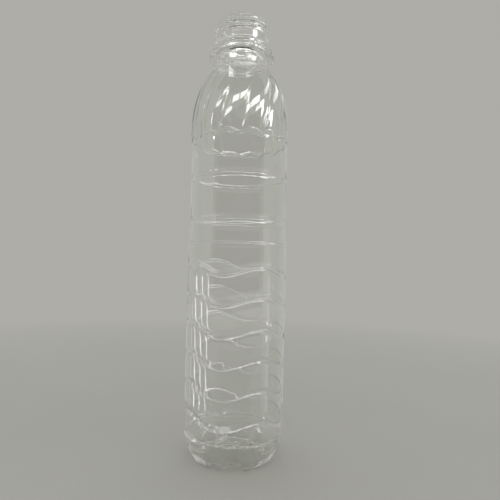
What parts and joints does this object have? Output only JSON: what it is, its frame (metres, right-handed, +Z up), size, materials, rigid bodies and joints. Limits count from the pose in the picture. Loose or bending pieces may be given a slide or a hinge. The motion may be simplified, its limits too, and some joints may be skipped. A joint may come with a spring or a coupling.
{
  "type": "pet bottle",
  "caption": "Clear blown drink bottle with a plain open neck, swirled shoulder lobes, a straight label panel, wavy grip grooves and a ribbed foot.",
  "frame": {"origin": "centre of the standing ring, on the plane that the bottle stands on", "axes": "+Z up the bottle's axis to the mouth, -Y towards the viewer of the picture, +X to the right"},
  "size_m": [0.054, 0.054, 0.2365],
  "materials": {
    "clear_pet": "gloss, clear"
  },
  "bodies": {
    "root": {"bottle": "clear_pet"}
  },
  "joints": []
}
